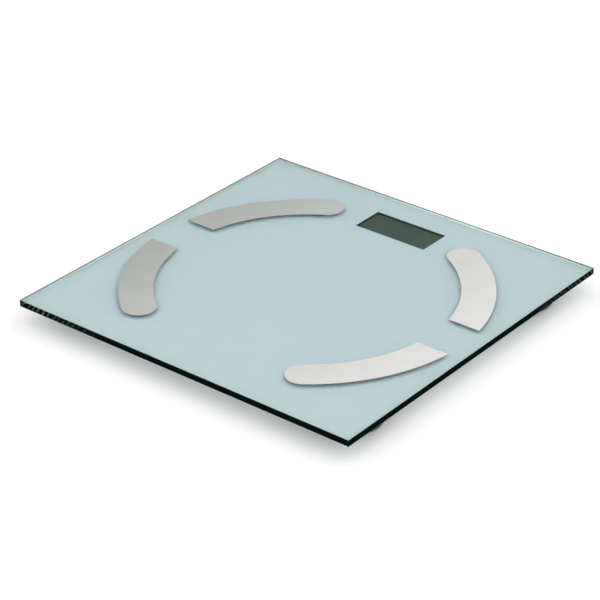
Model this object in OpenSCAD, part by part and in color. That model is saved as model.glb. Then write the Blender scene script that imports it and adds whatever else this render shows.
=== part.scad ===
// Digital bathroom scale with body-fat electrodes: a square glass platform on four
// weighing feet, with a display and battery module glued under its back edge.
// The origin is on the floor under the middle of the platform. +Z is up, +Y points
// to the edge that carries the display, and all sizes are in millimetres.

/* [Platform] */
// Side of the square glass platform
plate_w = 300; // [296:1:330]
// Thickness of the glass
plate_t = 5; // [4:0.5:6]
// Height of the glass top above the floor
plate_top = 20; // [20:0.5:24]
// Radius of the platform's corners
plate_corner_r = 1.2; // [0.8:0.1:5]
// Width of the ground-off arris along the glass edges
arris = 0.4; // [0.2:0.1:0.8]
// Thickness of the colour printed on the underside of the glass
print_t = 0.2; // [0.1:0.05:0.3]

/* [Electrodes] */
// Outer radius of the ring that the four electrodes lie on
ring_outer_r = 138; // [130:0.5:140]
// Inner radius of that ring
ring_inner_r = 112.5; // [105:0.5:118]
// Distance of the ring's centre behind the middle of the platform
ring_y = -3.6; // [-8:0.1:0]
// Angle of the back electrodes' round tips above the X axis
back_tip_angle = 59; // [50:1:62]
// Angle of the front electrodes' round tips below the X axis
front_tip_angle = 53; // [50:1:62]
// Half of the gap between a front and a back electrode
electrode_gap = 20; // [10:1:30]
// Thickness of the stainless sheet
electrode_t = 0.5; // [0.3:0.1:1]
// Thickness of the adhesive film under an electrode
film_t = 0.15; // [0.1:0.05:0.3]
// Angle of the contact stud along the ring
stud_angle = 33; // [28:1:38]

/* [Feet] */
// Distance of a foot's centre from the middle, along X
foot_x = 114; // [106:1:120]
// Distance of a foot's centre from the middle, along Y
foot_y = 104; // [104:1:120]
// Radius of a foot
foot_r = 26; // [25.5:0.5:28]
// Radius of the rubber pad
pad_r = 21; // [18:0.5:22]
// Height of a foot's rim above the floor
rim_z = 2.5; // [2:0.1:3]
// Height of the gap between the moving cap and the housing
foot_gap = 1; // [0.9:0.1:1.2]
// Side of the square load cell
cell_w = 34; // [32:0.5:34]
// Thickness of the load cell's steel plate
cell_t = 2.4; // [2:0.1:2.6]

/* [Display and module] */
// Width of the clear window in the print
window_w = 64; // [50:1:66]
// Depth of the clear window in the print, front to back
window_l = 29; // [20:1:30]
// Distance of the window's centre from the middle of the platform
window_y = 111.5; // [111:0.5:114]
// Width of the module
module_w = 92; // [92:1:100]
// Height of the module, without its tape
module_h = 11.2; // [11.2:0.1:11.8]
// Wall thickness of the module's housing
wall = 1.6; // [1.2:0.1:1.8]

/* [Batteries] */
// Diameter of a cell
battery_d = 10.5; // [10:0.1:10.5]
// Length of a cell with its contact nub
battery_l = 44.5; // [44:0.1:44.5]

/* [Leads] */
// Diameter of one insulated core
core_d = 1.2; // [0.9:0.1:1.2]
// Distance between the cores of a flat lead
core_pitch = 1.25; // [1.25:0.05:1.4]
// Radius of a lead's bends
bend_r = 5; // [4:0.5:8]

/* [Hidden] */
$fn = 64;
eps = 0.01;

// Left is -X and front is -Y: [name, side, end]
CORNERS = [
    ["front_left", -1, -1],
    ["front_right", 1, -1],
    ["back_left", -1, 1],
    ["back_right", 1, 1],
];
CORNER_KINDS = [
    "electrode", "electrode_lead", "foot_housing", "load_cell", "foot_cap", "foot_pad", "cell_lead",
];
CORNER_NODES = [
    for (kind = CORNER_KINDS)
        for (corner = CORNERS)
            str(kind, "_", corner[0])
];

// Heights, from the glass downwards
underside = plate_top - plate_t;
print_z = underside - print_t;
tape_t = 0.8;
tape_z = print_z - tape_t;

// Leads under the print: how deep they lie, their channels and the slots they drop through
core_depth = 0.9;
core_z = print_z - core_depth;
channel_slack = 0.1;
channel_z = core_z - core_d / 2 - channel_slack;
channel_w = 4.8;
slot_w = 2.4;

// Electrodes and their studs
band_w = ring_outer_r - ring_inner_r;
band_mid_r = (ring_outer_r + ring_inner_r) / 2;
electrode_z = plate_top + film_t;
stud_r = 1.5;
stud_hole_r = 2.6;
stud_x = band_mid_r * cos(stud_angle);
stud_rise = band_mid_r * sin(stud_angle);
flange_t = 0.5;
flange_w = 1.6;
terminal_t = 0.7;
nut_t = 2.4;
terminal_z = print_z - flange_t - terminal_t;
barrel_start = 4.4;
barrel_l = 5;
barrel_r = 0.9;

// Feet, from the ceiling of the housing down to the pad
ceiling_t = 1.4;
ceiling_z = tape_z - ceiling_t;
ridge_h = 1.6;
ridge_w = 3;
cell_top = ceiling_z - ridge_h;
cell_z = cell_top - cell_t;
cell_corner_r = 3;
sealant_t = 0.7;
cap_t = 1.8;
cap_top = rim_z + cap_t;
recess_h = 0.5;
rim_edge_r = 0.6;
foot_wall_z = cap_top + foot_gap;
foot_inner_r = foot_r - wall;
skirt_h = 1.7;
skirt_w = 1.2;
skirt_gap = 0.3;
hook_r = 20;
hook_t = 1.6;
ledge_depth = 1.6;
ledge_z = cell_z - ledge_depth;
ledge_h = 1.2;
ledge_w = 2.2;
lead_drop_x = -9;
drop_r = 1.5;

// Module, from its top face down
module_z = tape_z - module_h;
module_front = 55.5;
module_back = 20.5;
module_y0 = window_y - module_front;
module_y1 = window_y + module_back;
module_l = module_y1 - module_y0;
module_mid = (module_y0 + module_y1) / 2;
module_corner_r = 4;
base_t = 1.6;
base_top = module_z + base_t;
seam = 0.05;
boss_r = 2.6;
boss_inset = 4.5;
boss_x = module_w / 2 - boss_inset;
screw_r = 1.1;
head_r = 2.2;

// Display stack
glass_w = 66.8;
glass_l = 33;
glass_depth = 0.8;
lcd_top = tape_z - glass_depth;
front_glass_t = 1.1;
rear_glass_t = 0.8;
reflector_t = 0.2;
rear_glass_w = 62.8;
rear_glass_l = 26.6;
board_t = 1.6;
board_depth = 5.2;
board_top = tape_z - board_depth;
board_z = board_top - board_t;
board_w = 85;
board_front = 22;
board_back = 18.5;
board_y0 = window_y - board_front;
board_y1 = window_y + board_back;
post_x = 36;
post_r = 2;
post_inset = 15.5;
board_screw_r = 1;

// Battery bay and its sliding door
bay_w = 52;
bay_l = 24;
bay_depth = 37.5;
bay_y = window_y - bay_depth;
bay_wall = 1.2;
bay_z = base_top + seam;
battery_r = battery_d / 2;
battery_lift = 1.15;
battery_z = module_z + battery_lift + battery_r;
battery_gap = 0.7;
battery_offset = bay_l / 2 - battery_gap - battery_r;
nub_l = 1;
contact_t = 0.5;
contact_w = 8;
plate_x = bay_w / 2 - contact_t;
tab_rise = 1;
tab_z = battery_z + tab_rise;
tab_w = 3;
tab_l = 3.5;
door_w = 53.8;
door_t = 1;
door_l = 30.8;
door_notch_w = 54.4;
door_notch_l = 31;
groove_depth = 0.7;
groove_w = 57.2;
rail_lift = 0.85;
rail_z = module_z + rail_lift;
rail_h = 0.6;

// Unit button, under the board
button_x = 26;
button_offset = 3.5;
button_y = window_y - button_offset;
button_r = 4;
button_hole_r = 4.3;
button_flange_r = 5.4;
button_flange_t = 0.6;
button_inset = 0.3;
button_z = module_z + button_inset;
button_top = base_top + seam + button_flange_t;
switch_w = 6;
switch_h = 1.6;
switch_z = board_z - switch_h;
plunger_r = 1.5;
plunger_sunk = 1;
plunger_top = switch_z + plunger_sunk;

// Where leads meet the board, and the lines they run along on the right-hand side
pad_x = 40.5;
front_cell_lane = [60, window_y - 16];
front_electrode_lane = [66, window_y - 12.8];
back_electrode_lane = [72, window_y - 10.6];
gate_y0 = window_y - 18.2;
gate_y1 = foot_y + channel_w / 2;

// ---- Shapes that repeat ----

// A rectangle with round corners about the origin
module rounded_rect(w, l, r) {
    square([w - 2 * r, l], center = true);
    square([w, l - 2 * r], center = true);
    for (sx = [-1, 1], sy = [-1, 1])
        translate([sx * (w / 2 - r), sy * (l / 2 - r)])
            circle(r);
}

// The outline given, as a plate from z0 up to z1
module slab(z0, z1) {
    translate([0, 0, z0])
        linear_extrude(z1 - z0)
            children();
}

// A block between two corners
module block(low, high) {
    translate(low)
        cube(high - low);
}

// A disc with a rounded lower edge
module rounded_disc(r, z0, z1, edge_r) {
    translate([0, 0, z0])
        rotate_extrude() {
            square([r - edge_r, z1 - z0]);
            translate([0, edge_r])
                square([r, z1 - z0 - edge_r]);
            translate([r - edge_r, edge_r])
                circle(edge_r);
        }
}

// A part of the right-hand half, in its place on the side asked for
module on_side(side) {
    scale([side, 1, 1])
        children();
}

// A foot's own parts, with its lead leaving towards -X
module at_foot(side, end) {
    on_side(side)
        translate([foot_x, end * foot_y, 0])
            children();
}

// Every foot's copy of a part
module at_each_foot() {
    for (corner = CORNERS)
        at_foot(corner[1], corner[2])
            children();
}

// Something on the axis of a contact stud, with its lead leaving towards -X
module at_stud(side, end) {
    on_side(side)
        translate([stud_x, ring_y + end * stud_rise, 0])
            children();
}

// Every stud's copy of a part
module at_each_stud() {
    for (corner = CORNERS)
        at_stud(corner[1], corner[2])
            children();
}

// A self-tapping screw that points up, with its head's lower face at z0 and a cross recess
module screw(z0, head_h, head_radius, shank_r, length) {
    recess_l = 1.3 * head_radius;
    recess_w = 0.3 * head_radius;
    difference() {
        union() {
            cylinder_between(head_radius, z0, z0 + head_h);
            cylinder_between(shank_r, z0 + head_h, z0 + head_h + length);
        }
        for (turn = [0, 90])
            translate([0, 0, z0])
                rotate(turn)
                    cube([recess_l, recess_w, head_h], center = true);
    }
}

// An upright cylinder between two heights
module cylinder_between(r, z0, z1) {
    translate([0, 0, z0])
        cylinder(r = r, h = z1 - z0);
}

// ---- Leads ----

function heading(route, i) = (route[i + 1] - route[i]) / norm(route[i + 1] - route[i]);
function left_of(v) = [-v[1], v[0]];
function turn_at(route, i) = cross(heading(route, i - 1), heading(route, i));

// The straight stretch of a core after point i of its route, shortened at bends and drops
module core_straight(route, i, side, cut_start, cut_end) {
    along = heading(route, i);
    start = route[i] + along * cut_start + left_of(along) * side;
    translate([start[0], start[1], core_z])
        rotate([0, 90, atan2(along[1], along[0])])
            cylinder(d = core_d, h = norm(route[i + 1] - route[i]) - cut_start - cut_end);
}

// The square bend of a core at point i of its route
module core_bend(route, i, side) {
    before = heading(route, i - 1);
    turn = turn_at(route, i);
    centre = route[i] - before * bend_r + left_of(before) * turn * bend_r;
    out = -left_of(before) * turn;
    translate([centre[0], centre[1], core_z])
        rotate(atan2(out[1], out[0]) + (turn < 0 ? -90 : 0))
            rotate_extrude(angle = 90)
                translate([bend_r - turn * side, 0])
                    circle(d = core_d);
}

// The end of a core, which turns down at a point and goes on to a lower height
module core_drop(point, along, side, low_z) {
    start = point - along * drop_r + left_of(along) * side;
    translate([start[0], start[1], core_z])
        rotate(atan2(along[1], along[0])) {
            translate([0, 0, -drop_r])
                rotate([90, 0, 0])
                    rotate_extrude(angle = 90)
                        translate([drop_r, 0])
                            circle(d = core_d);
            translate([drop_r, 0, low_z - core_z])
                cylinder(d = core_d, h = core_z - drop_r - low_z);
        }
}

// One core along a flat route with square turns. start_z and end_z are the heights that
// its ends drop to, or undef for an end that stays level
module core(route, side, start_z, end_z) {
    last = len(route) - 1;
    for (i = [0:last - 1])
        core_straight(
            route, i, side,
            i > 0 ? bend_r : is_undef(start_z) ? 0 : drop_r,
            i < last - 1 ? bend_r : is_undef(end_z) ? 0 : drop_r
        );
    if (last > 1)
        for (i = [1:last - 1])
            core_bend(route, i, side);
    if (!is_undef(start_z))
        core_drop(route[0], -heading(route, 0), -side, start_z);
    if (!is_undef(end_z))
        core_drop(route[last], heading(route, last - 1), side, end_z);
}

// The route of a load cell's lead on the right-hand side
function cell_route(end) =
    end > 0
    ? [[foot_x + lead_drop_x, foot_y], [pad_x, foot_y]]
    : [
        [foot_x + lead_drop_x, -foot_y],
        [front_cell_lane[0], -foot_y],
        front_cell_lane,
        [pad_x, front_cell_lane[1]],
    ];

// The route of an electrode's lead on the right-hand side, from its crimped terminal
function electrode_route(end) =
    let (lane = end > 0 ? back_electrode_lane : front_electrode_lane)
    [
        [stud_x - barrel_start, ring_y + end * stud_rise],
        [lane[0], ring_y + end * stud_rise],
        lane,
        [pad_x, lane[1]],
    ];

// ---- Platform ----

module glass_platform() {
    arris_w = arris * sqrt(2);
    color([0.72, 0.84, 0.82, 0.6])
        difference() {
            slab(underside, plate_top)
                rounded_rect(plate_w, plate_w, plate_corner_r);
            for (turn = [0:90:270], z = [underside, plate_top])
                rotate(turn)
                    translate([plate_w / 2, 0, z])
                        rotate([0, 45, 0])
                            cube([arris_w, plate_w + 1, arris_w], center = true);
            at_each_stud()
                cylinder_between(stud_hole_r, underside - 1, plate_top + 1);
        }
}

module back_print() {
    edge_gap = 0.1;
    print_w = plate_w - 2 * (arris + edge_gap);
    color([0.74, 0.82, 0.82])
        difference() {
            slab(print_z, underside)
                difference() {
                    rounded_rect(print_w, print_w, plate_corner_r);
                    translate([0, window_y])
                        square([window_w, window_l], center = true);
                }
            at_each_stud()
                cylinder_between(stud_hole_r, print_z - 1, underside + 1);
        }
}

// ---- Electrodes ----

// The outline of a right-hand electrode: a band of the ring with a round tip at one end
// and a straight cut at the other
module electrode_outline(end, inset) {
    tip = end > 0 ? back_tip_angle : front_tip_angle;
    far = 2 * ring_outer_r;
    translate([0, ring_y])
        scale([1, end])
            difference() {
                union() {
                    intersection() {
                        difference() {
                            circle(ring_outer_r - inset);
                            circle(ring_inner_r + inset);
                        }
                        polygon([[0, 0], [far, 0], [far * cos(tip), far * sin(tip)]]);
                    }
                    translate(band_mid_r * [cos(tip), sin(tip)])
                        circle(band_w / 2 - inset);
                }
                translate([0, -far + electrode_gap - end * ring_y + inset])
                    square([far, far]);
            }
}

module electrode(side, end) {
    color([0.78, 0.77, 0.75])
        on_side(side)
            slab(electrode_z, electrode_z + electrode_t)
                electrode_outline(end, 0);
}

module electrode_films() {
    film_inset = 0.5;
    color([0.92, 0.92, 0.9])
        difference() {
            for (corner = CORNERS)
                on_side(corner[1])
                    slab(plate_top, electrode_z)
                        electrode_outline(corner[2], film_inset);
            at_each_stud()
                cylinder_between(stud_hole_r, plate_top - 1, electrode_z + 1);
        }
}

module contact_studs() {
    past_nut = 0.6;
    color([0.72, 0.72, 0.72])
        at_each_stud()
            cylinder_between(stud_r, terminal_z - nut_t - past_nut, electrode_z);
}

module stud_bushes() {
    color([0.93, 0.93, 0.9])
        at_each_stud()
            difference() {
                union() {
                    cylinder_between(stud_hole_r, print_z, plate_top);
                    cylinder_between(stud_hole_r + flange_w, print_z - flange_t, print_z);
                }
                cylinder_between(stud_r, print_z - 1, plate_top + 1);
            }
}

module ring_terminals() {
    eye_r = 3.2;
    eye_slack = 0.1;
    neck_w = 2.2;
    neck_l = 3;
    neck_end = 2;
    color([0.8, 0.79, 0.74])
        at_each_stud()
            difference() {
                union() {
                    cylinder_between(eye_r, terminal_z, terminal_z + terminal_t);
                    translate([-barrel_start, 0, core_z])
                        rotate([0, -90, 0])
                            cylinder(r = barrel_r, h = barrel_l);
                    block(
                        [-neck_end - neck_l, -neck_w / 2, terminal_z],
                        [-neck_end, neck_w / 2, terminal_z + terminal_t]
                    );
                }
                cylinder_between(stud_r + eye_slack, terminal_z - 1, terminal_z + terminal_t + 1);
                translate([-barrel_start, 0, core_z])
                    rotate([0, -90, 0])
                        cylinder(d = core_d, h = barrel_l + 1);
            }
}

module stud_nuts() {
    across_flats = 5.5;
    color([0.75, 0.74, 0.7])
        at_each_stud()
            translate([0, 0, terminal_z - nut_t])
                difference() {
                    cylinder(d = across_flats / cos(30), h = nut_t, $fn = 6);
                    translate([0, 0, -1])
                        cylinder(r = stud_r, h = nut_t + 2);
                }
}

module electrode_lead(side, end) {
    color("white")
        on_side(side)
            core(electrode_route(end), 0, undef, board_top);
}

// ---- Feet ----

module foot_tapes() {
    tape_inset = 1.5;
    hole_r = 8;
    color([0.9, 0.9, 0.88])
        at_each_foot()
            slab(tape_z, print_z)
                difference() {
                    circle(foot_r - tape_inset);
                    circle(hole_r);
                    translate([-foot_r, -channel_w / 2])
                        square([foot_r, channel_w]);
                }
}

// The cup that is glued under the glass and holds the load cell
module foot_housing(side, end) {
    slot_x = lead_drop_x + slot_w / 2;
    color([0.16, 0.16, 0.17])
        at_foot(side, end)
            difference() {
                cylinder_between(foot_r, foot_wall_z, ceiling_z + ceiling_t);
                difference() {
                    cylinder_between(foot_inner_r, foot_wall_z - 1, ceiling_z);
                    foot_inner_walls();
                }
                // the lead's channel in the top face, and the slot that it drops through
                block([-foot_r - 1, -channel_w / 2, channel_z], [slot_x, channel_w / 2, tape_z + 1]);
                block([slot_x - slot_w, -channel_w / 2, ceiling_z - 1], [slot_x, channel_w / 2, tape_z + 1]);
            }
}

// What stands inside the housing: the ridge that the load cell's frame bears on, the
// two snap arms that hold the cell up, and the two ledges that keep the cap in
module foot_inner_walls() {
    ridge_r = 1.5;
    arm_gap = 0.2;
    arm_t = 1.8;
    arm_w = 8;
    arm_x = cell_w / 2 + arm_gap;
    catch_l = 1.2;
    catch_h = 0.8;
    catch_top = cell_z - 0.1;
    ledge_root = 0.5;
    ledge_l = 12;
    slab(cell_top, ceiling_z)
        difference() {
            rounded_rect(cell_w, cell_w, cell_corner_r);
            rounded_rect(cell_w - 2 * ridge_w, cell_w - 2 * ridge_w, ridge_r);
        }
    for (sx = [-1, 1])
        scale([sx, 1, 1]) {
            block([arm_x, -arm_w / 2, catch_top - catch_h], [arm_x + arm_t, arm_w / 2, ceiling_z]);
            block([arm_x - catch_l, -arm_w / 2, catch_top - catch_h], [arm_x + eps, arm_w / 2, catch_top]);
        }
    for (sy = [-1, 1])
        scale([1, sy, 1])
            intersection() {
                difference() {
                    cylinder_between(foot_r - ledge_root, ledge_z, ledge_z + ledge_h);
                    cylinder_between(foot_inner_r - ledge_w, ledge_z - 1, ledge_z + ledge_h + 1);
                }
                block([-ledge_l / 2, 0, ledge_z - 1], [ledge_l / 2, foot_r, ledge_z + ledge_h + 1]);
            }
}

// The stamped plate of a load cell: a frame with a beam that ends in a wide head
module load_cell(side, end) {
    frame_w = 4.5;
    hole_w = cell_w - 2 * frame_w;
    hole_r = 2;
    beam_w = 9;
    head_w = 8;
    head_l = 18;
    head_corner_r = 1.5;
    color([0.7, 0.7, 0.7])
        at_foot(side, end)
            slab(cell_z, cell_top)
                difference() {
                    rounded_rect(cell_w, cell_w, cell_corner_r);
                    difference() {
                        rounded_rect(hole_w, hole_w, hole_r);
                        translate([-cell_w / 2, -beam_w / 2])
                            square([cell_w / 2, beam_w]);
                        rounded_rect(head_w, head_l, head_corner_r);
                    }
                }
}

module gauge_sealant() {
    sealant_w = 6.5;
    sealant_l = 7;
    sealant_r = 1.5;
    color([0.95, 0.95, 0.93])
        at_each_foot()
            translate([lead_drop_x, 0, 0])
                slab(cell_top, cell_top + sealant_t)
                    rounded_rect(sealant_w, sealant_l, sealant_r);
}

// The moving cup of a foot, which presses on the load cell's head
module foot_cap(side, end) {
    pad_gap = 0.2;
    skirt_r = foot_inner_r - skirt_gap;
    press_w = 3;
    press_l = 14;
    rib_w = 1.6;
    rib_h = 1.2;
    rib_x0 = press_w / 2 - eps;
    rib_x1 = skirt_r - skirt_w / 2;
    color([0.15, 0.15, 0.16])
        at_foot(side, end) {
            difference() {
                rounded_disc(foot_r, rim_z, cap_top, rim_edge_r);
                cylinder_between(pad_r + pad_gap, rim_z - 1, rim_z + recess_h);
            }
            difference() {
                cylinder_between(skirt_r, cap_top - eps, cap_top + skirt_h);
                cylinder_between(skirt_r - skirt_w, cap_top - 1, cap_top + skirt_h + 1);
            }
            // the bar that presses on the load cell's head, and the ribs that brace it
            block([-press_w / 2, -press_l / 2, cap_top - eps], [press_w / 2, press_l / 2, cell_z]);
            for (sx = [-1, 1])
                scale([sx, 1, 1])
                    block([rib_x0, -rib_w / 2, cap_top - eps], [rib_x1, rib_w / 2, cap_top + rib_h]);
            for (sy = [-1, 1])
                scale([1, sy, 1])
                    cap_hook();
        }
}

// A snap hook of the cap, with its barb over the housing's ledge
module cap_hook() {
    hook_w = 10;
    hook_back = hook_r + hook_t;
    barb_gap = 0.3;
    barb_l = 1.8;
    barb_h = 1.2;
    barb_z = ledge_z + ledge_h + barb_gap;
    block([-hook_w / 2, hook_r, cap_top - eps], [hook_w / 2, hook_back, barb_z + barb_h]);
    block([-hook_w / 2, hook_back - eps, barb_z], [hook_w / 2, hook_back + barb_l, barb_z + barb_h]);
}

module foot_pad(side, end) {
    color([0.1, 0.1, 0.1])
        at_foot(side, end)
            rounded_disc(pad_r, 0, rim_z + recess_h, rim_edge_r);
}

module cell_lead(side, end) {
    colours = ["red", [0.12, 0.12, 0.12], "white"];
    on_side(side)
        for (i = [0:2])
            color(colours[i])
                core(cell_route(end), (i - 1) * core_pitch, cell_top + sealant_t, board_top);
}

// A saddle that is glued to the print over a lead, along Y or turned to lie along X
module lead_clip(x, y, inner_w, turn = 0) {
    clip_t = 0.5;
    flap_l = 2.5;
    half_l = 4;
    outer = inner_w / 2 + clip_t;
    translate([x, y, 0])
        rotate(turn)
            difference() {
                union() {
                    block([-outer - flap_l, -half_l, print_z - clip_t], [outer + flap_l, half_l, print_z]);
                    block([-outer, -half_l, channel_z - clip_t], [outer, half_l, print_z]);
                }
                block([-inner_w / 2, -half_l - 1, channel_z], [inner_w / 2, half_l + 1, print_z + 1]);
            }
}

module lead_clips() {
    slack = 0.3;
    flat_w = 2 * core_pitch + core_d + slack;
    round_w = core_d + slack;
    clip_pitch = 60;
    front_foot_gap = 29;
    lane_stagger = 30;
    back_lane_y = 84;
    back_foot_gap = 10;
    color([0.9, 0.9, 0.88])
        for (side = [-1, 1])
            on_side(side) {
                for (i = [0:2]) {
                    y = -foot_y + front_foot_gap + i * clip_pitch;
                    lead_clip(front_cell_lane[0], y, flat_w);
                    lead_clip(front_electrode_lane[0], y + lane_stagger, round_w);
                }
                lead_clip(back_electrode_lane[0], back_lane_y, round_w);
                lead_clip(foot_x - foot_r - back_foot_gap, foot_y, flat_w, 90);
            }
}

// ---- Module ----

// The openings in the module's sides that the leads pass through, down to z0
module lead_gate(z0) {
    for (sx = [-1, 1])
        scale([sx, 1, 1])
            block([pad_x - slot_w / 2, gate_y0, z0], [module_w / 2 + 1, gate_y1, print_z + 1]);
}

module module_outline(inset) {
    translate([0, module_mid])
        rounded_rect(module_w - 2 * inset, module_l - 2 * inset, module_corner_r - inset);
}

module module_tape() {
    tape_inset = 1;
    color([0.9, 0.9, 0.88])
        difference() {
            slab(tape_z, print_z)
                difference() {
                    module_outline(tape_inset);
                    translate([0, window_y])
                        square([window_w + 2 * tape_inset, window_l + 2 * tape_inset], center = true);
                    translate([0, bay_y])
                        square([bay_w + 2 * tape_inset, bay_l + 2 * tape_inset], center = true);
                }
            lead_gate(tape_z - 1);
        }
}

// Both front and back pairs of the screw bosses
module at_each_boss() {
    for (sx = [-1, 1], y = [module_y0 + boss_inset, module_y1 - boss_inset])
        translate([sx * boss_x, y, 0])
            children();
}

module at_each_post() {
    for (sx = [-1, 1], sy = [-1, 1])
        translate([sx * post_x, window_y + sy * post_inset, 0])
            children();
}

module module_housing() {
    boss_top = ceiling_z + eps;
    seat_gap = 0.4;
    frame_gap = 1;
    slot_half = tab_w / 2 + 0.2;
    slot_h = 0.7;
    slot_z = tab_z - 0.1;
    screw_hole_l = 7;
    post_hole_l = 3.2;
    color([0.12, 0.13, 0.13])
        difference() {
            union() {
                difference() {
                    slab(base_top, tape_z)
                        module_outline(0);
                    slab(base_top - 1, ceiling_z)
                        module_outline(wall);
                }
                at_each_boss()
                    cylinder_between(boss_r, base_top, boss_top);
                at_each_post()
                    cylinder_between(post_r, board_top, boss_top);
                bay_walls();
            }
            // the display's opening, with a deeper seat for its glass
            translate([0, window_y]) {
                slab(ceiling_z - 1, tape_z + 1)
                    square([window_w + frame_gap, window_l + frame_gap], center = true);
                slab(ceiling_z - 1, lcd_top)
                    square([glass_w + seat_gap, glass_l + seat_gap], center = true);
            }
            // the battery bay, open at the top so that the cells can reach into it
            translate([0, bay_y])
                slab(base_top - 1, tape_z + 1)
                    square([bay_w, bay_l], center = true);
            // the slots for the contacts' soldering tabs
            for (sy = [-1, 1])
                translate([0, bay_y + sy * battery_offset, slot_z])
                    block([plate_x, -slot_half, 0], [bay_w / 2 + bay_wall + 1, slot_half, slot_h]);
            at_each_boss()
                cylinder_between(screw_r, base_top - 1, base_top + screw_hole_l);
            at_each_post()
                cylinder_between(board_screw_r, board_top - 1, board_top + post_hole_l);
            lead_gate(channel_z);
            for (sx = [-1, 1])
                translate([sx * pad_x, 0, 0])
                    block([-slot_w / 2, gate_y0, ceiling_z - 1], [slot_w / 2, gate_y1, tape_z + 1]);
        }
}

// The walls of the battery bay, with the flanges that the door's rails slide under
module bay_walls() {
    outer_w = bay_w + 2 * bay_wall;
    outer_l = bay_l + 2 * bay_wall;
    flange_h = 0.8;
    translate([0, bay_y]) {
        slab(bay_z, ceiling_z + eps)
            square([outer_w, outer_l], center = true);
        slab(bay_z, bay_z + flange_h)
            square([groove_w + 1, outer_l], center = true);
    }
}

module base_cover() {
    rib_gap = 0.15;
    rib_t = 1;
    rib_h = 1.2;
    rib_inset = 10;
    rib_x = module_w / 2 - wall - rib_gap;
    rib_y = module_y1 - wall - rib_gap;
    head_gap = 0.3;
    shank_gap = 0.1;
    head_depth = 1;
    color([0.15, 0.15, 0.16])
        difference() {
            union() {
                slab(module_z, base_top)
                    module_outline(0);
                // locating ribs inside the housing's walls
                for (sx = [-1, 1])
                    scale([sx, 1, 1])
                        block(
                            [rib_x - rib_t, module_y0 + rib_inset, base_top - eps],
                            [rib_x, module_y1 - rib_inset, base_top + rib_h]
                        );
                block([-post_x, rib_y - rib_t, base_top - eps], [post_x, rib_y, base_top + rib_h]);
            }
            // the door's opening, with a groove on either side
            translate([0, module_y0]) {
                block(
                    [-door_notch_w / 2, -1, module_z - 1],
                    [door_notch_w / 2, door_notch_l, base_top + 1]
                );
                block(
                    [-groove_w / 2, -1, module_z + groove_depth],
                    [groove_w / 2, door_notch_l, base_top + 1]
                );
            }
            translate([button_x, button_y, 0])
                cylinder_between(button_hole_r, module_z - 1, base_top + 1);
            at_each_boss() {
                cylinder_between(screw_r + shank_gap, module_z - 1, base_top + 1);
                cylinder_between(head_r + head_gap, module_z - 1, module_z + head_depth);
            }
        }
}

module cover_screws() {
    sunk = 0.1;
    head_h = 0.9;
    shank_l = 6.5;
    color([0.6, 0.6, 0.62])
        at_each_boss()
            screw(module_z + sunk, head_h, head_r, screw_r, shank_l);
}

// ---- Display ----

module lcd_front_glass() {
    color([0.3, 0.35, 0.32])
        translate([0, window_y])
            slab(lcd_top - front_glass_t, lcd_top)
                square([glass_w, glass_l], center = true);
}

module lcd_rear_glass() {
    top = lcd_top - front_glass_t;
    color([0.34, 0.38, 0.35])
        translate([0, window_y])
            slab(top - rear_glass_t, top)
                square([rear_glass_w, rear_glass_l], center = true);
}

module lcd_reflector() {
    top = lcd_top - front_glass_t - rear_glass_t;
    color([0.75, 0.76, 0.74])
        translate([0, window_y])
            slab(top - reflector_t, top)
                square([rear_glass_w, rear_glass_l], center = true);
}

// The frame that carries the display's glass on the board
module lcd_frame() {
    frame_t = 0.7;
    rib_t = 1;
    rib_y = rear_glass_l / 2 - 1.3;
    rib_top = lcd_top - front_glass_t - rear_glass_t - reflector_t;
    color([0.9, 0.9, 0.88])
        translate([0, window_y]) {
            slab(board_top, lcd_top - front_glass_t)
                difference() {
                    square([glass_w, glass_l], center = true);
                    square([glass_w - 2 * frame_t, glass_l - 2 * frame_t], center = true);
                }
            for (sy = [-1, 1])
                scale([1, sy, 1])
                    block(
                        [-glass_w / 2 + frame_t - eps, rib_y, board_top],
                        [glass_w / 2 - frame_t + eps, rib_y + rib_t, rib_top]
                    );
        }
}

// The elastic strips that join the display's glass to the board
module zebra_strips() {
    strip_w = 60;
    strip_l = 2;
    strip_y = glass_l / 2 - 1.8;
    color([0.85, 0.6, 0.65])
        for (sy = [-1, 1])
            translate([0, window_y + sy * strip_y])
                slab(board_top, lcd_top - front_glass_t)
                    square([strip_w, strip_l], center = true);
}

// ---- Board ----

module circuit_board() {
    corner_w = 4.2;
    corner_l = 6;
    hole_gap = 0.1;
    color([0.1, 0.35, 0.2])
        difference() {
            slab(board_z, board_top)
                difference() {
                    translate([-board_w / 2, board_y0])
                        square([board_w, board_y1 - board_y0]);
                    for (sx = [-1, 1])
                        translate([sx * board_w / 2, board_y1])
                            square([2 * corner_w, 2 * corner_l], center = true);
                }
            at_each_post()
                cylinder_between(board_screw_r + hole_gap, board_z - 1, board_top + 1);
        }
}

module board_screws() {
    head_h = 0.9;
    grip_l = 2.8;
    color([0.62, 0.62, 0.64])
        at_each_post()
            screw(board_z - head_h, head_h, 2 * head_h, board_screw_r, board_t + grip_l);
}

// The black drop of resin over the scale's chip
module chip_seal() {
    seal_x = -4;
    seal_r = 6;
    seal_h = 1.5;
    ball_r = (seal_r * seal_r + seal_h * seal_h) / (2 * seal_h);
    color([0.05, 0.05, 0.05])
        translate([seal_x, window_y, board_z - seal_h])
            rotate_extrude()
                intersection() {
                    translate([0, ball_r])
                        circle(ball_r, $fn = 240);
                    square([seal_r, seal_h]);
                }
}

// A part soldered under the board, at a place measured from the display's middle
module soldered(place, size) {
    translate([place[0], window_y + place[1], board_z - size[2] / 2])
        cube(size, center = true);
}

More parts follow.
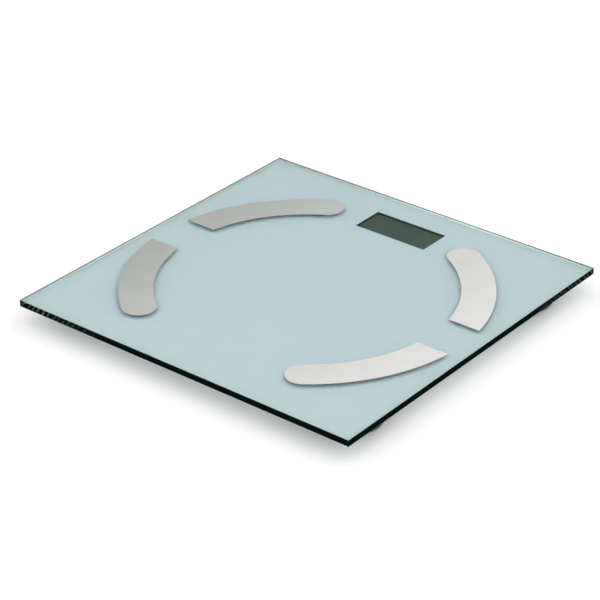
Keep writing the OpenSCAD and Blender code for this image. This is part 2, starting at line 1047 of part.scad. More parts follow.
module board_components() {
    chip = [1.6, 0.8, 0.5];
    chip_pitch = 3.2;
    radio_board = [13, 16, 0.8];
    radio_place = [-27, -2];
    can = [10, 10, 2.4];
    can_place = radio_place + [0, -2];
    crystal = [3, 8, 1.6];
    capacitor = [3.2, 1.6, 1.4];
    color([0.55, 0.5, 0.4])
        for (i = [0:5]) {
            soldered([-14 + chip_pitch * i, -12], chip);
            soldered([-14 + chip_pitch * i, 11], [chip[1], chip[0], chip[2]]);
        }
    // the radio module: a small board under a metal can
    color([0.2, 0.4, 0.6])
        soldered(radio_place, radio_board);
    color([0.75, 0.75, 0.75])
        soldered(can_place, can);
    // the crystal and the two smoothing capacitors
    color([0.75, 0.75, 0.75])
        soldered([8, -3], crystal);
    color([0.8, 0.65, 0.3])
        for (y = [2, 6])
            soldered([15, y], capacitor);
}

module tact_switch() {
    bore_r = plunger_r + 0.2;
    bore_top = plunger_top + 0.45;
    color([0.1, 0.1, 0.1])
        translate([button_x, button_y, 0])
            difference() {
                block([-switch_w / 2, -switch_w / 2, switch_z], [switch_w / 2, switch_w / 2, board_z]);
                cylinder_between(bore_r, switch_z - 1, bore_top);
            }
}

module switch_plunger() {
    color([0.85, 0.8, 0.6])
        translate([button_x, button_y, 0])
            cylinder_between(plunger_r, button_top, plunger_top);
}

module unit_button() {
    face_edge_r = 0.4;
    color([0.8, 0.8, 0.8])
        translate([button_x, button_y, 0]) {
            rounded_disc(button_r, button_z, button_top - button_flange_t + eps, face_edge_r);
            cylinder_between(button_flange_r, button_top - button_flange_t, button_top);
        }
}

// ---- Batteries ----

// A battery's own parts, with its nub towards +X: the front cell one way, the back the other
module at_each_battery() {
    for (way = [-1, 1])
        translate([0, bay_y - way * battery_offset, battery_z])
            scale([way, 1, 1])
                children();
}

module battery_cells() {
    nub_r = 1.9;
    body_end = plate_x - nub_l;
    body_l = battery_l - nub_l;
    color([0.2, 0.35, 0.3])
        at_each_battery()
            rotate([0, 90, 0]) {
                translate([0, 0, body_end - body_l])
                    cylinder(r = battery_r, h = body_l);
                translate([0, 0, body_end - eps])
                    cylinder(r = nub_r, h = nub_l + eps);
            }
}

// The wire of a tapering spring, as rings of points round a helix along Z
module cone_spring(r0, r1, length, wire_r, turns) {
    sides = 8;
    rings_per_turn = 16;
    steps = rings_per_turn * turns;
    function ring(i) =
        let (
            t = i / steps,
            a = 360 * turns * t,
            r = r0 + (r1 - r0) * t,
            z = wire_r + (length - 2 * wire_r) * t
        )
        [
            for (k = [0:sides - 1])
                let (
                    out = r + wire_r * cos(360 * k / sides),
                    up = z + wire_r * sin(360 * k / sides)
                )
                [out * cos(a), out * sin(a), up]
        ];
    points = [for (i = [0:steps]) each ring(i)];
    walls = [
        for (i = [0:steps - 1], k = [0:sides - 1])
            let (next = (k + 1) % sides)
            [
                i * sides + k,
                i * sides + next,
                (i + 1) * sides + next,
                (i + 1) * sides + k,
            ]
    ];
    start_cap = [for (k = [sides - 1:-1:0]) k];
    end_cap = [for (k = [0:sides - 1]) steps * sides + k];
    polyhedron(points, concat(walls, [start_cap, end_cap]));
}

module battery_springs() {
    wide_r = 3.6;
    narrow_r = 2;
    wire_r = 0.35;
    turns = 4;
    gap = 2 * plate_x - battery_l;
    color([0.8, 0.8, 0.78])
        at_each_battery()
            translate([-plate_x, 0, 0])
                rotate([0, 90, 0])
                    cone_spring(wide_r, narrow_r, gap, wire_r, turns);
}

module contact_plates() {
    plate_h = 7;
    bridge_y = battery_offset + contact_w / 2;
    color([0.78, 0.78, 0.75])
        translate([0, bay_y, battery_z]) {
            // the bridge that joins the two cells
            block([-plate_x - contact_t, -bridge_y, -plate_h / 2], [-plate_x, bridge_y, plate_h / 2]);
            // the two end plates, each with a tab that its lead is soldered to
            for (sy = [-1, 1])
                translate([plate_x, sy * battery_offset, 0]) {
                    block([0, -contact_w / 2, -plate_h / 2], [contact_t, contact_w / 2, plate_h / 2]);
                    block([contact_t - eps, -tab_w / 2, tab_rise], [tab_l, tab_w / 2, tab_rise + contact_t]);
                }
        }
}

module battery_leads() {
    lane = [37, 34];
    on_tab = 2;
    on_board = 1.5;
    colours = [[0.12, 0.12, 0.12], "red"];
    lead_z = tab_z + contact_t + core_d / 2;
    for (i = [0, 1]) {
        y = bay_y + (2 * i - 1) * battery_offset;
        route = [[plate_x + on_tab, y], [lane[i], y], [lane[i], board_y0 + on_board]];
        color(colours[i])
            translate([0, 0, lead_z - core_z])
                core(route, 0, undef, board_top - lead_z + core_z);
    }
}

module battery_door() {
    rail_w = 2.4;
    rail_gap = 0.3;
    rail_x = groove_w / 2 - rail_gap;
    grip_w = 18;
    grip_y = 12;
    grip_pitch = 2.2;
    groove_l = 1;
    relief = 0.35;
    color([0.17, 0.17, 0.18])
        translate([0, module_y0, 0])
            difference() {
                union() {
                    block([-door_w / 2, 0, module_z], [door_w / 2, door_l, module_z + door_t]);
                    for (sx = [-1, 1])
                        scale([sx, 1, 1])
                            block([rail_x - rail_w, 1, rail_z], [rail_x, door_l, rail_z + rail_h]);
                }
                // the grip: a row of grooves and an arrow that shows which way it slides
                for (i = [0:4])
                    translate([0, grip_y + grip_pitch * i, module_z])
                        block([-grip_w / 2, 0, -1], [grip_w / 2, groove_l, relief]);
                slab(module_z - 1, module_z + relief)
                    polygon([[-4, 9], [4, 9], [0, 4.5]]);
            }
}

for (corner = CORNERS) {
    electrode(corner[1], corner[2]);
    electrode_lead(corner[1], corner[2]);
    foot_housing(corner[1], corner[2]);
    load_cell(corner[1], corner[2]);
    foot_cap(corner[1], corner[2]);
    foot_pad(corner[1], corner[2]);
    cell_lead(corner[1], corner[2]);
}
glass_platform();
back_print();
electrode_films();
contact_studs();
stud_bushes();
ring_terminals();
stud_nuts();
foot_tapes();
gauge_sealant();
lead_clips();
module_tape();
module_housing();
base_cover();
cover_screws();
lcd_front_glass();
lcd_rear_glass();
lcd_reflector();
lcd_frame();
zebra_strips();
circuit_board();
board_screws();
chip_seal();
board_components();
tact_switch();
switch_plunger();
unit_button();
battery_cells();
battery_springs();
contact_plates();
battery_leads();
battery_door();
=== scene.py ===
"""A glass-topped digital bathroom scale: finishes, glass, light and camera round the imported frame."""

import math

import bpy
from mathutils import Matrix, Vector


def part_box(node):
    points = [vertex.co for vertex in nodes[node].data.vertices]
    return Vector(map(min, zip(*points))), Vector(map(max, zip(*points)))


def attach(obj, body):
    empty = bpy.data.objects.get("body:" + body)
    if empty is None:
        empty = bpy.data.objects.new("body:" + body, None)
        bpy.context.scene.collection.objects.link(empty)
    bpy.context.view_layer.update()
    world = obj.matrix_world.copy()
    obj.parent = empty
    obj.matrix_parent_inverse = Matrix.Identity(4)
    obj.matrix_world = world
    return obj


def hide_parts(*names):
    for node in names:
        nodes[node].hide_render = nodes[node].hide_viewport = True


# a millimetre in Blender's metres
MM = 0.001
CORNERS = ("front_left", "front_right", "back_left", "back_right")

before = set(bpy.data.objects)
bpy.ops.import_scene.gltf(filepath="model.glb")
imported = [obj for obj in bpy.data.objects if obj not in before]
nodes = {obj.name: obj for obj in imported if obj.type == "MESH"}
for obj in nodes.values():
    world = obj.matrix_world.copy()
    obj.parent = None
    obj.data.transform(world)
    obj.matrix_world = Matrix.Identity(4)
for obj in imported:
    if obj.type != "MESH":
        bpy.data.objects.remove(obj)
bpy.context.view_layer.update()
scene = bpy.context.scene


# ---------------------------------------------------------------- node materials


class Nodes:
    """Adds nodes to one node tree and links them. A socket is linked, and any other value is set."""

    def __init__(self, tree):
        self.tree = tree

    def find(self, kind):
        return next(n for n in self.tree.nodes if n.type == kind)

    def feed(self, socket, value):
        if isinstance(value, bpy.types.NodeSocket):
            self.tree.links.new(value, socket)
        else:
            socket.default_value = value

    def add(self, kind, settings=(), **inputs):
        """A new node. Its settings are its own properties, and its inputs are sockets by name."""
        node = self.tree.nodes.new("ShaderNode" + kind)
        for key, value in dict(settings).items():
            setattr(node, key, value)
        for key, value in inputs.items():
            self.feed(node.inputs[key.replace("_", " ")], value)
        return node

    def pair(self, kind, operation, a, b):
        """The value of a math node that works on two inputs of the same name."""
        node = self.add(kind, {"operation": operation})
        self.feed(node.inputs[0], a)
        self.feed(node.inputs[1], b)
        return node.outputs["Value"]

    def math(self, operation, a, b=0.0):
        return self.pair("Math", operation, a, b)

    def times(self, product, *factors):
        for factor in factors:
            product = self.math("MULTIPLY", product, factor)
        return product

    def remap(self, value, low, high, to_low=0.0, to_high=1.0, curve="LINEAR"):
        return self.add(
            "MapRange",
            {"interpolation_type": curve},
            Value=value,
            From_Min=low,
            From_Max=high,
            To_Min=to_low,
            To_Max=to_high,
        ).outputs["Result"]

    def spread(self, noise, low=0.0, high=1.0):
        """A noise, most of which lies between 0.3 and 0.7, brought to another range."""
        return self.remap(noise, 0.3, 0.7, low, high)


class Finish(Nodes):
    """One material: its shader and the few nodes that feed it. Lengths are in millimetres."""

    def __init__(self, name, **values):
        self.material = bpy.data.materials.new(name)
        self.material.use_nodes = True
        super().__init__(self.material.node_tree)
        self.shader = self.find("BSDF_PRINCIPLED")
        for socket, value in values.items():
            self.shader.inputs[socket.replace("_", " ")].default_value = value

    def place(self, stretch=(1, 1, 1), turn=0):
        """Where a point of the piece is, stretched and turned about Z for a grain."""
        where = self.add("TexCoord").outputs["Object"]
        return self.add(
            "Mapping",
            Vector=where,
            Rotation=(0, 0, math.radians(turn)),
            Scale=tuple(s / MM for s in stretch),
        ).outputs["Vector"]

    def axes(self):
        """Where a point of the piece is, as three values."""
        parts = self.add("SeparateXYZ", Vector=self.place())
        return tuple(parts.outputs[axis] for axis in "XYZ")

    def noise(self, size, detail=3.0, roughness=0.5, stretch=(1, 1, 1), turn=0):
        return self.add(
            "TexNoise",
            Vector=self.place(stretch, turn),
            Scale=1 / size,
            Detail=detail,
            Roughness=roughness,
        ).outputs["Fac"]

    def cells(self, size):
        return self.add("TexVoronoi", Vector=self.place(), Scale=1 / size).outputs["Distance"]

    def mix(self, share, a, b):
        node = self.add("Mix", {"data_type": "RGBA"})
        colour_inputs = [s for s in node.inputs if s.type == "RGBA"]
        self.feed(node.inputs["Factor"], share)
        self.feed(colour_inputs[0], solid(a))
        self.feed(colour_inputs[1], solid(b))
        return next(s for s in node.outputs if s.type == "RGBA")

    def paint(self, colour):
        self.feed(self.shader.inputs["Base Color"], colour)

    def colour(self, share, a, b):
        self.paint(self.mix(share, a, b))

    def rough(self, share, low, high):
        self.feed(self.shader.inputs["Roughness"], self.remap(share, 0, 1, low, high))

    def bump(self, height, depth):
        node = self.add("Bump", Height=height, Strength=1.0, Distance=depth * MM)
        self.feed(self.shader.inputs["Normal"], node.outputs["Normal"])


def solid(colour):
    """A colour as a shader socket wants it. A socket goes through as it is."""
    if isinstance(colour, bpy.types.NodeSocket):
        return colour
    return (*colour, 1.0)


def shade(colour, factor):
    return tuple(min(1.0, c * factor) for c in colour)


# a metal's clouds, and the depth of its rolled or brushed lines, in millimetres
CLOUD_SIZE = 22
STREAK_DEPTH = 0.004


def moulded(name, colour, rough, grain, depth, mottle=0.12, **values):
    """Moulded plastic or rubber: an eroded grain of a size and depth, and faint flow marks in its tone."""
    finish = Finish(name, **values)
    flow = finish.noise(14, detail=4, stretch=(1, 0.35, 1), turn=25)
    finish.colour(finish.spread(flow), shade(colour, 1 - mottle), shade(colour, 1 + mottle))
    finish.rough(finish.spread(flow), rough - 0.07, rough + 0.07)
    finish.bump(finish.noise(grain, detail=2), depth)
    return finish


def rolled(name, colour, rough, along, streak):
    """Sheet metal: fine streaks along the rolling direction, clouded a little."""
    finish = Finish(name, Metallic=1.0)
    lines = finish.noise(streak, detail=3, roughness=0.65, stretch=along)
    cloud = finish.noise(CLOUD_SIZE, detail=3)
    line_share = finish.spread(lines, 0, 0.55)
    cloud_share = finish.spread(cloud, 0, 0.45)
    share = finish.math("ADD", line_share, cloud_share)
    finish.colour(share, shade(colour, 0.93), shade(colour, 1.05))
    finish.rough(share, rough - 0.06, rough + 0.08)
    finish.bump(lines, STREAK_DEPTH)
    return finish


# ---------------------------------------------------------------- faces of a CAD node


def islands(mesh):
    """The polygons of each separate solid of a mesh, as lists of indices, in order of their middles."""
    owner = {}
    parent = list(range(len(mesh.polygons)))

    def root(i):
        while parent[i] != i:
            parent[i] = parent[parent[i]]
            i = parent[i]
        return i

    places = [tuple(round(c / MM, 3) for c in v.co) for v in mesh.vertices]
    for polygon in mesh.polygons:
        for vertex in polygon.vertices:
            first = owner.setdefault(places[vertex], polygon.index)
            parent[root(polygon.index)] = root(first)
    groups = {}
    for i in range(len(parent)):
        groups.setdefault(root(i), []).append(i)

    def middle(group):
        points = [mesh.polygons[i].center for i in group]
        return tuple(round(sum(p[k] for p in points) / len(points) / MM, 2) for k in range(3))

    return sorted(groups.values(), key=middle)


def finish_node(name, *finishes, pick=None):
    """Gives a CAD node its materials. pick says, for each polygon, which of them it takes."""
    mesh = nodes[name].data
    mesh.materials.clear()
    for finish in finishes:
        mesh.materials.append(finish.material)
    for polygon in mesh.polygons:
        polygon.material_index = pick(polygon) if pick else 0


def finish_islands(name, finishes, order):
    """Gives each solid of a CAD node the material at its place in order."""
    mesh = nodes[name].data
    index = {}
    for place, group in enumerate(islands(mesh)):
        for i in group:
            index[i] = order[place % len(order)]
    finish_node(name, *finishes, pick=lambda polygon: index[polygon.index])


def soften(name, width):
    """A small bevel on a CAD node's sharp edges. Its mesh stays as it is."""
    weld = nodes[name].modifiers.new("weld", "WELD")
    weld.merge_threshold = 0.001 * MM
    bevel = nodes[name].modifiers.new("bevel", "BEVEL")
    bevel.width = width * MM
    bevel.segments = 2
    bevel.limit_method = "ANGLE"
    bevel.angle_limit = math.radians(40)
    bevel.harden_normals = True


# ---------------------------------------------------------------- glass platform

# the side of the glass, how far out its cut edge starts, and how upright the normal of a face is
SIDE = 300.0
RIM = 149.3
FACE_NORMAL = 0.99

# outside: painted shade makes the glass dark, with painted slanting glints that fade out from two opposite
# corners
EDGE_PAINTED_SHADE = (0.0012, 0.0036, 0.0034)
EDGE_PAINTED_SHADE_LIGHT = (0.0030, 0.0072, 0.0070)
PAINTED_GLINT = (0.32, 0.38, 0.36)
GLINT_PITCH = 5.0
GLINT_LEAN = 0.8
GLINT_STRAY = 0.25
GLINT_WIDTH = 0.13
GLINT_REACH = 80.0
GLINT_RISE = 18.0
GLINT_START = 0.3

# inside: painted light, pale green low down, painted shade near the top, and a painted gleam that glows
# some way from those two corners
PAINTED_GLOW = (0.80, 0.92, 0.89)
PAINTED_SHADE_TOP = (0.030, 0.050, 0.048)
GLOW_LOW, GLOW_HIGH = 16.7, 18.1
GLEAM_NEAR, GLEAM_PEAK, GLEAM_FAR = 10.0, 110.0, 250.0
GLEAM_START = 0.2
GLEAM_LEFT = 0.4
BLACK = (0, 0, 0)

glass = Finish(
    "platform_glass",
    Base_Color=(0.970, 0.995, 0.990, 1.0),
    Transmission_Weight=1.0,
    IOR=1.52,
)
glass.rough(glass.remap(glass.noise(30, detail=5, roughness=0.6), 0.45, 0.75), 0.0, 0.03)


def edge_glints(edge, run, away, z, cloud):
    """How much of a painted slanting glint shows at a point of the edge."""
    near = edge.remap(away, 0, GLINT_REACH, 1.0, 0.0)
    rise = edge.remap(away, 0, GLINT_RISE, GLINT_START, 1.0)
    slant = edge.times(z, GLINT_LEAN, edge.math("SIGN", run))
    steps = edge.math("DIVIDE", edge.math("ADD", run, slant), GLINT_PITCH)
    stray = edge.spread(edge.noise(9, detail=1), -GLINT_STRAY, GLINT_STRAY)
    phase = edge.math("PINGPONG", edge.math("ADD", steps, stray), 0.5)
    line = edge.remap(phase, 0.0, GLINT_WIDTH, 1.0, 0.0)
    return edge.times(near, rise, edge.remap(cloud, 0.3, 0.65), line)


def edge_gleam(edge, run, away):
    """How strongly a point of the edge shows a painted gleam that glows, more towards the right-hand
    corner.
    """
    rise = edge.remap(away, GLEAM_NEAR, GLEAM_PEAK, GLEAM_START, 1.0)
    fall = edge.remap(away, GLEAM_PEAK, GLEAM_FAR, 1.0, 0.0)
    return edge.times(rise, fall, edge.remap(run, -1, 1, GLEAM_LEFT, 1.0))


def cut_edge():
    """The glass's cut edge, with painted shade that makes it dark from outside, and painted light that
    makes it pale green from within the glass.
    """
    edge = Finish("glass_edge", Specular_IOR_Level=0.0, Emission_Strength=0.45)
    cloud = edge.noise(5, detail=4, stretch=(1, 1, 2.5))
    x, y, z = edge.axes()
    # run is 0 at the near and far corners, and plus or minus SIDE at the other two
    run = edge.math("ADD", x, y)
    away = edge.math("SUBTRACT", SIDE, edge.math("ABSOLUTE", run))
    # painted shade: the edge of clear glass is given a dark tone
    dark = edge.mix(edge.remap(cloud, 0.35, 0.7), EDGE_PAINTED_SHADE, EDGE_PAINTED_SHADE_LIGHT)
    # painted highlight: slanting glints near two opposite corners
    outside = edge.mix(edge_glints(edge, run, away, z, cloud), dark, PAINTED_GLINT)
    # painted light low down and painted shade near the top, seen from within the glass
    glow = edge.mix(edge.remap(z, GLOW_LOW, GLOW_HIGH), PAINTED_GLOW, PAINTED_SHADE_TOP)
    inside = edge.add("NewGeometry").outputs["Backfacing"]
    edge.paint(edge.mix(inside, outside, glow))
    # painted light: the gleam glows through the emission, though the edge is no lamp
    gleam = edge.times(inside, edge_gleam(edge, run, away))
    edge.feed(edge.shader.inputs["Emission Color"], edge.mix(gleam, BLACK, glow))
    edge.rough(cloud, 0.22, 0.42)
    edge.bump(edge.noise(0.35, detail=2, stretch=(1, 1, 0.4)), 0.02)
    return edge


def pick_glass(polygon):
    at_rim = max(abs(polygon.center.x), abs(polygon.center.y)) > RIM * MM
    return 1 if at_rim and abs(polygon.normal.z) < FACE_NORMAL else 0


finish_node("glass_platform", glass, cut_edge(), pick=pick_glass)


# ---------------------------------------------------------------- print under the glass

# the gap to the glass, and how near its top a point counts as one of the sheet's upper points
PRINT_GAP = 0.03
PRINT_TOP = 0.05
INK_MIDDLE, INK_MIDDLE_TOO = (0.735, 0.886, 0.933), (0.735, 0.881, 0.941)
# the outer margin's colour is painted light, the green glow of the glass's edge
INK_MARGIN_GLOW = (0.731, 0.883, 0.874)
MARGIN_START, MARGIN_END = 126, 154
MARGIN_WANDER = 12

ink = Finish("back_ink", Roughness=0.55, Specular_IOR_Level=0.3)
ink_cloud = ink.noise(120, detail=2)
ink_middle = ink.mix(ink.remap(ink_cloud, 0.35, 0.65), INK_MIDDLE, INK_MIDDLE_TOO)
# painted light: the green glow of the glass shows most in the outer margin, painted into the ink
ink_out = ink.math("MAXIMUM", *(ink.math("ABSOLUTE", part) for part in ink.axes()[:2]))
ink_wander = ink.spread(ink.noise(40, detail=2), -MARGIN_WANDER, MARGIN_WANDER)
ink_margin_glow = ink.remap(ink.math("ADD", ink_out, ink_wander), MARGIN_START, MARGIN_END)
ink.colour(ink_margin_glow, ink_middle, INK_MARGIN_GLOW)
ink.bump(ink.noise(0.5, detail=2), 0.004)

backing = Finish("print_backing", Roughness=0.6)
backing_cloud = backing.noise(18, detail=5, stretch=(1, 0.3, 1))
backing.colour(backing.spread(backing_cloud), (0.66, 0.71, 0.72), (0.73, 0.77, 0.78))
backing.rough(backing_cloud, 0.45, 0.7)
backing.bump(backing.noise(0.8, detail=3), 0.01)


def print_sheet():
    """The printed layer, a hair below the glass, so that the glass keeps its own lower face."""
    mesh = nodes["back_print"].data.copy()
    top = max(v.co.z for v in mesh.vertices)
    for vertex in mesh.vertices:
        if vertex.co.z > top - PRINT_TOP * MM:
            vertex.co.z = top - PRINT_GAP * MM
    mesh.update()
    mesh.materials.clear()
    mesh.materials.append(ink.material)
    mesh.materials.append(backing.material)
    for polygon in mesh.polygons:
        polygon.material_index = 1 if polygon.normal.z < 0.5 else 0
    sheet = bpy.data.objects.new("print_sheet", mesh)
    scene.collection.objects.link(sheet)
    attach(sheet, "platform")
    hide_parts("back_print")


print_sheet()


# ---------------------------------------------------------------- electrodes

# the steel's two colours are a painted reflection, dim towards -X and bright towards +X
STEEL_PAINTED_DIM, STEEL_PAINTED_BRIGHT = (0.323, 0.337, 0.312), (0.618, 0.617, 0.600)
STEEL_SPAN = 140

# brushed satin steel with a painted reflection, which turns from grey to silver across the scale
steel = Finish("electrode_steel", Metallic=0.15)
steel_across = steel.axes()[0]
steel_painted_reflection = steel.mix(steel.remap(steel_across, -STEEL_SPAN, STEEL_SPAN), STEEL_PAINTED_DIM, STEEL_PAINTED_BRIGHT)
steel_lines = steel.noise(0.5, detail=3, roughness=0.65, stretch=(0.04, 1, 1))
steel_cloud = steel.noise(CLOUD_SIZE, detail=3)
steel_streaks = steel.spread(steel_lines, 0.96, 1.04)
steel_patches = steel.spread(steel_cloud, -0.02, 0.02)
steel_value = steel.math("ADD", steel_streaks, steel_patches)
steel.paint(steel.add("HueSaturation", Color=steel_painted_reflection, Value=steel_value).outputs["Color"])
steel.rough(steel_lines, 0.36, 0.48)
steel.bump(steel_lines, STREAK_DEPTH)
for corner in CORNERS:
    finish_node("electrode_" + corner, steel)
    soften("electrode_" + corner, 0.12)

film = Finish("adhesive_film", Roughness=0.5)
film.colour(film.noise(3, detail=3), (0.72, 0.73, 0.70), (0.84, 0.84, 0.81))
film.bump(film.noise(0.6), 0.01)
finish_node("electrode_films", film)


# ---------------------------------------------------------------- metals

plated = rolled("plated_steel", (0.68, 0.68, 0.70), 0.30, along=(1, 1, 1), streak=0.8)
cell_steel = rolled("cell_steel", (0.66, 0.66, 0.65), 0.36, along=(0.06, 1, 1), streak=0.6)
tinned = rolled("tinned_brass", (0.74, 0.71, 0.64), 0.38, along=(1, 1, 1), streak=0.6)
spring = rolled("spring_steel", (0.76, 0.75, 0.72), 0.22, along=(0.1, 1, 1), streak=0.4)

for name in ("contact_studs", "stud_nuts", "cover_screws", "board_screws"):
    finish_node(name, plated)
for corner in CORNERS:
    finish_node("load_cell_" + corner, cell_steel)
    soften("load_cell_" + corner, 0.15)
finish_node("ring_terminals", tinned)
finish_node("contact_plates", spring)
finish_node("battery_springs", spring)


# ---------------------------------------------------------------- plastics and rubber

CHARCOAL = (0.030, 0.032, 0.031)

foot_plastic = moulded("foot_plastic", CHARCOAL, 0.50, 0.35, 0.03)
module_plastic = moulded("module_plastic", CHARCOAL, 0.52, 0.40, 0.035)
nylon = moulded("nylon", (0.74, 0.73, 0.68), 0.42, 0.5, 0.015, mottle=0.05, Subsurface_Weight=0.15)
button = moulded("button_plastic", (0.30, 0.31, 0.31), 0.38, 0.5, 0.012, mottle=0.05)
foot_rubber = moulded("foot_rubber", (0.018, 0.018, 0.018), 0.78, 0.55, 0.05, mottle=0.3)
silicone = moulded("silicone", (0.80, 0.80, 0.77), 0.30, 1.4, 0.05, mottle=0.03, Subsurface_Weight=0.3)
conductive = moulded("conductive_rubber", (0.62, 0.38, 0.42), 0.6, 0.6, 0.02)
resin = moulded("black_resin", (0.010, 0.010, 0.011), 0.18, 3.0, 0.05, mottle=0.1, Coat_Weight=0.5)

foam = Finish("foam_tape", Roughness=0.85)
foam_cells = foam.cells(0.45)
foam.colour(foam.remap(foam_cells, 0.0, 0.8), (0.80, 0.80, 0.77), (0.62, 0.62, 0.60))
foam.bump(foam_cells, 0.06)

for corner in CORNERS:
    finish_node("foot_housing_" + corner, foot_plastic)
    finish_node("foot_cap_" + corner, foot_plastic)
    finish_node("foot_pad_" + corner, foot_rubber)
for name in ("module_housing", "base_cover", "battery_door", "tact_switch"):
    finish_node(name, module_plastic)
for name in ("stud_bushes", "lead_clips", "lcd_frame", "switch_plunger"):
    finish_node(name, nylon)
for name in ("foot_tapes", "module_tape"):
    finish_node(name, foam)
finish_node("gauge_sealant", silicone)
finish_node("zebra_strips", conductive)
finish_node("unit_button", button)
finish_node("chip_seal", resin)


# ---------------------------------------------------------------- leads

lead_red = moulded("lead_red", (0.52, 0.030, 0.022), 0.36, 1.2, 0.012, mottle=0.08)
lead_black = moulded("lead_black", (0.022, 0.022, 0.023), 0.38, 1.2, 0.012, mottle=0.2)
lead_white = moulded("lead_white", (0.72, 0.71, 0.67), 0.38, 1.2, 0.012, mottle=0.05)
LEADS = (lead_red, lead_black, lead_white)

for corner in CORNERS:
    finish_islands("cell_lead_" + corner, LEADS, (0, 1, 2))
    finish_islands("electrode_lead_" + corner, LEADS, (1,))
finish_islands("battery_leads", LEADS, (0, 1))


# ---------------------------------------------------------------- display

WINDOW = (64.0, 29.0)
RIM_START, RIM_END = -1.0, -0.6
LCD_FIELD, LCD_FIELD_TOO = (0.065, 0.121, 0.092), (0.074, 0.125, 0.085)
# the border's colour is painted shade of the window's recess
LCD_RECESS_SHADE = (0.005, 0.024, 0.026)

lcd = Finish("display_glass", Coat_Weight=0.25, Coat_Roughness=0.04, Specular_IOR_Level=0.2)
lcd_cloud = lcd.noise(16, detail=2)
lcd_field = lcd.mix(lcd.remap(lcd_cloud, 0.35, 0.65), LCD_FIELD, LCD_FIELD_TOO)
# its black border just inside the window is painted shade of the window's recess
lcd_low, lcd_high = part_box("lcd_front_glass")
lcd_place = lcd.axes()
lcd_beyond = []
for axis, side in enumerate(WINDOW):
    middle = (lcd_low[axis] + lcd_high[axis]) / 2 / MM
    lcd_off = lcd.math("ABSOLUTE", lcd.math("SUBTRACT", lcd_place[axis], middle))
    lcd_beyond.append(lcd.math("SUBTRACT", lcd_off, side / 2))
lcd_rim_shade = lcd.remap(lcd.math("MAXIMUM", *lcd_beyond), RIM_START, RIM_END)
lcd.colour(lcd_rim_shade, lcd_field, LCD_RECESS_SHADE)
lcd.rough(lcd_cloud, 0.28, 0.4)
lcd.bump(lcd.noise(0.3, detail=1), 0.003)

reflector = rolled("reflector_film", (0.70, 0.71, 0.69), 0.45, along=(1, 1, 1), streak=1.5)
finish_node("lcd_front_glass", lcd)
finish_node("lcd_rear_glass", lcd)
finish_node("lcd_reflector", reflector)


# ---------------------------------------------------------------- circuit board

mask = Finish("board_laminate", Coat_Weight=0.3, Coat_Roughness=0.25)
tracks = mask.add(
    "TexBrick",
    {"offset": 0.37, "squash": 0.7},
    Vector=mask.place(),
    Scale=0.42,
    Mortar_Size=0.035,
    Mortar_Smooth=0.1,
)
track_zones = mask.remap(mask.noise(9, detail=1), 0.42, 0.5)
track_share = mask.times(tracks.outputs["Fac"], track_zones)
mask.colour(track_share, (0.012, 0.115, 0.040), (0.035, 0.215, 0.075))
mask.rough(mask.noise(5), 0.3, 0.45)
mask.bump(track_share, 0.03)
finish_node("circuit_board", mask)

chip = moulded("component_black", (0.020, 0.020, 0.021), 0.5, 0.3, 0.02, mottle=0.15)
ceramic = moulded("component_ceramic", (0.42, 0.31, 0.20), 0.4, 0.3, 0.01)
can = rolled("component_can", (0.72, 0.72, 0.70), 0.25, along=(0.1, 1, 1), streak=0.3)
finish_islands("board_components", (chip, ceramic, can), (0, 1, 1, 2))


# ---------------------------------------------------------------- batteries

CELL_BODY = 22.0
BAND_START = 15.0

sleeve = Finish("battery_sleeve", Coat_Weight=0.6, Coat_Roughness=0.12)
band = sleeve.math("GREATER_THAN", sleeve.math("ABSOLUTE", sleeve.axes()[0]), BAND_START)
wear = sleeve.noise(6, detail=4)
body_tone = sleeve.mix(wear, (0.018, 0.085, 0.066), (0.026, 0.105, 0.084))
sleeve.colour(band, body_tone, (0.55, 0.36, 0.14))
sleeve.rough(wear, 0.22, 0.36)
sleeve.bump(sleeve.noise(2.5, detail=1), 0.01)


def pick_cell(polygon):
    at_end = abs(polygon.center.x) > CELL_BODY * MM or abs(polygon.normal.x) > 0.5
    return 1 if at_end else 0


finish_node("battery_cells", sleeve, spring, pick=pick_cell)


# ---------------------------------------------------------------- floor, light and camera

# metres from the middle of the floor to its sides
FLOOR = 6.0
PAPER, PAPER_TOO = (0.63, 0.63, 0.63), (0.64, 0.64, 0.64)
PAPER_GLOW = 0.155
WHITE = (1.0, 1.0, 1.0, 1.0)

AZIMUTH = math.radians(38.4568)
ELEVATION = math.radians(29.5507)
DISTANCE = 1674.77 * MM
TARGET = Vector((9.500, -24.126, 20.472)) * MM
SENSOR, FOCAL = 36.0, 139.0

# the tent's strength, by how high a ray points, and by how nearly it points at a place, as a cosine
SKY_LOW, SKY_HIGH = 0.635, 1.70
WALL_FOOT, WALL_TOP = math.radians(12), math.radians(42)
ROOF = 0.6
ROOF_START, ROOF_END = math.radians(48), math.radians(75)
FRONT_WALL = 1.35
FRONT_TURN, FRONT_HEIGHT = math.radians(30), math.radians(50)
FRONT_START, FRONT_END = 0.60, 0.95
FLAG = 0.08
FLAG_START, FLAG_END = 0.86, 0.96

# metres and watts
SOFTBOX_SIZE = 2.4
SOFTBOX_POWER = 8.7
SOFTBOX_PLACE = (0.12, 0.15, 2.2)


def aim(azimuth, elevation):
    """The unit vector from the scale to a point of the studio."""
    return (
        math.sin(azimuth) * math.cos(elevation),
        -math.cos(azimuth) * math.cos(elevation),
        math.sin(elevation),
    )


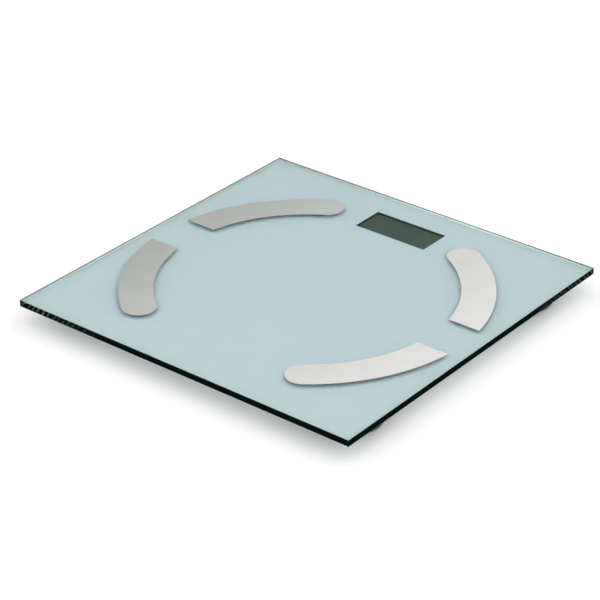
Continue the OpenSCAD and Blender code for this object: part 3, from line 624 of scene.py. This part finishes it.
def lay_floor():
    """A sheet of pale paper that shows only from above, so that a camera below it sees the feet."""
    paper = Finish(
        "floor_paper",
        Roughness=0.95,
        Specular_IOR_Level=0.0,
        Emission_Color=WHITE,
        Emission_Strength=PAPER_GLOW,
    )
    paper.colour(paper.noise(400, detail=1), PAPER, PAPER_TOO)
    one_way = paper.add("MixShader")
    paper.feed(one_way.inputs[0], paper.add("NewGeometry").outputs["Backfacing"])
    paper.feed(one_way.inputs[1], paper.shader.outputs["BSDF"])
    paper.feed(one_way.inputs[2], paper.add("BsdfTransparent").outputs["BSDF"])
    paper.feed(paper.find("OUTPUT_MATERIAL").inputs["Surface"], one_way.outputs["Shader"])
    corners = [(-FLOOR, -FLOOR, 0), (FLOOR, -FLOOR, 0), (FLOOR, FLOOR, 0), (-FLOOR, FLOOR, 0)]
    mesh = bpy.data.meshes.new("floor")
    mesh.from_pydata(corners, [], [(0, 1, 2, 3)])
    mesh.materials.append(paper.material)
    floor = bpy.data.objects.new("floor", mesh)
    scene.collection.objects.link(floor)


def hang_tent():
    """The sky: a tent of soft light."""
    world = bpy.data.worlds.new("studio")
    scene.world = world
    world.use_nodes = True
    sky = Nodes(world.node_tree)
    ray = sky.add("TexCoord").outputs["Generated"]
    height = sky.add("SeparateXYZ", Vector=ray).outputs["Z"]

    def fade(value, low, high, to_low, to_high):
        return sky.remap(value, low, high, to_low, to_high, curve="SMOOTHSTEP")

    def towards(azimuth, elevation):
        return sky.pair("VectorMath", "DOT_PRODUCT", ray, aim(azimuth, elevation))

    # dim at the foot of its walls and under its roof, and lightest half-way up
    walls = fade(height, math.sin(WALL_FOOT), math.sin(WALL_TOP), SKY_LOW, SKY_HIGH)
    roof = fade(height, math.sin(ROOF_START), math.sin(ROOF_END), 1.0, ROOF)
    # lighter on the camera's side, with a dark flag opposite, where the glass would mirror the tent
    front = towards(AZIMUTH + FRONT_TURN, FRONT_HEIGHT)
    front_wall = fade(front, FRONT_START, FRONT_END, 1.0, FRONT_WALL)
    opposite = towards(AZIMUTH + math.pi, ELEVATION)
    flag = fade(opposite, FLAG_START, FLAG_END, 1.0, FLAG)
    lit = sky.times(walls, roof, front_wall, flag)
    # straight behind the scale the tent shows as plain white, so that the floor has no horizon
    seen = sky.add("LightPath").outputs["Is Camera Ray"]
    background = sky.find("BACKGROUND")
    sky.feed(background.inputs["Strength"], sky.math("MAXIMUM", lit, seen))
    sky.feed(background.inputs["Color"], WHITE)


def hang_softbox():
    softbox = bpy.data.lights.new("softbox", "AREA")
    softbox.shape = "SQUARE"
    softbox.size = SOFTBOX_SIZE
    softbox.energy = SOFTBOX_POWER
    lamp = bpy.data.objects.new("softbox", softbox)
    lamp.location = SOFTBOX_PLACE
    lamp.rotation_euler = (-lamp.location).to_track_quat("-Z", "Y").to_euler()
    scene.collection.objects.link(lamp)


def stand_camera():
    back = Vector(aim(AZIMUTH, ELEVATION))
    lens = bpy.data.cameras.new("camera")
    lens.sensor_width = SENSOR
    lens.lens = FOCAL
    lens.clip_start = 0.05
    lens.clip_end = 30.0
    camera = bpy.data.objects.new("camera", lens)
    camera.location = TARGET + back * DISTANCE
    camera.rotation_euler = (-back).to_track_quat("-Z", "Y").to_euler()
    scene.collection.objects.link(camera)
    scene.camera = camera


lay_floor()
hang_tent()
hang_softbox()
stand_camera()
scene.view_settings.view_transform = "Standard"
